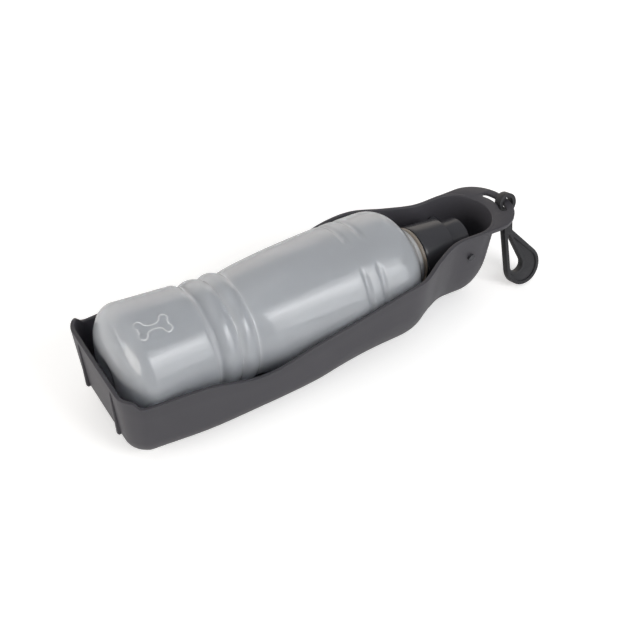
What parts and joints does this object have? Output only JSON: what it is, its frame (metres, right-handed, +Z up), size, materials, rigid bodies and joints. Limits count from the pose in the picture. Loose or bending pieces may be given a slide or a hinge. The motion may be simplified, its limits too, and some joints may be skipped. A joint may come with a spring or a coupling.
{
  "type": "dog travel water bottle",
  "caption": "Squeeze bottle that lies in an open drinking tray and swings up out of it on a pivot head, with a twist valve, a screw cap and a hanging strap on a slotted lug.",
  "frame": {"origin": "on the tray's flat underside, straight below the axis of the trunnions that the bottle swings on", "axes": "+X along the tray towards the bowl end and the hanging strap, +Y across the tray along the trunnions, +Z up, square to the underside"},
  "size_m": [0.2741, 0.0776, 0.069],
  "materials": {
    "tray_plastic": "dark grey moulded polypropylene with a fine satin grain",
    "strap_plastic": "dark grey flexible polypropylene, satin",
    "cap_plastic": "dark grey moulded polypropylene, semi-gloss",
    "seal_rubber": "pale silicone",
    "bottle_plastic": "milky translucent blown polyethylene, semi-gloss"
  },
  "bodies": {
    "tray": {"tray": "tray_plastic"},
    "strap": {"hang_strap": "strap_plastic"},
    "head": {"pivot_head": "cap_plastic", "valve_seal": "seal_rubber"},
    "cap": {"screw_cap": "cap_plastic", "spout_o_ring": "seal_rubber"},
    "washer": {"cap_washer": "seal_rubber"},
    "bottle": {"bottle": "bottle_plastic"}
  },
  "joints": [
    {"name": "bottle_swing", "type": "hinge", "parent": "tray", "child": "head", "pos_m": [0, 0, 0.0386], "axis": [0, 1, 0], "range_deg": [0, 112]},
    {"name": "valve_twist", "type": "hinge", "parent": "head", "child": "cap", "pos_m": [0, 0, 0.036], "axis": [-1, 0, 0], "range_deg": [0, 90]},
    {"name": "bottle_unscrew", "type": "hinge", "parent": "cap", "child": "washer", "pos_m": [0, 0, 0.036], "axis": [-1, 0, 0], "range_deg": [0, 90]},
    {"name": "thread_travel", "type": "slide", "parent": "washer", "child": "bottle", "axis": [-1, 0, 0], "range_m": [0, 0.001]},
    {"name": "strap_swing", "type": "hinge", "parent": "tray", "child": "strap", "pos_m": [0.03725, -0.0024, 0.0518], "axis": [-0.0387, -0.9397, 0.3398], "range_deg": [-12, 130]}
  ],
  "couplings": [
    {"joint": "bottle_unscrew", "follows": "thread_travel", "rad_per_m": 1570.8}
  ]
}
